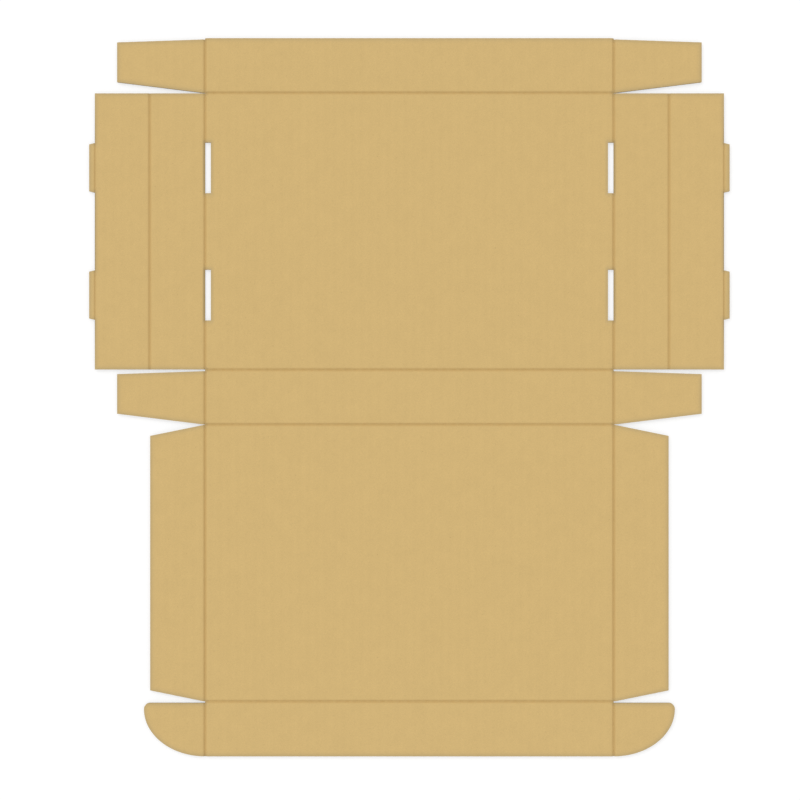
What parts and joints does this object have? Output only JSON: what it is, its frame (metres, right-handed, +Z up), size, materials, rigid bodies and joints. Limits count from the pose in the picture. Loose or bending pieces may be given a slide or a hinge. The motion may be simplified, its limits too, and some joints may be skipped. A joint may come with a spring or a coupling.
{
  "type": "flattened cardboard mailer box",
  "caption": "Die-cut and creased blank of a corrugated mailer box, lying flat and open, with dust flaps, roll-over side walls, locking tabs, slots and a tuck-in lid.",
  "frame": {"origin": "on the underside, below the middle of the back wall, which is the middle of the whole blank", "axes": "+X to the right across the box, +Y from the lid's tuck flap to the front wall, +Z up out of the inside face"},
  "size_m": [0.47, 0.527, 0.003],
  "materials": {
    "kraft_board": "matt uncoated kraft liner"
  },
  "bodies": {
    "root": {"box_blank": "kraft_board"}
  },
  "joints": []
}
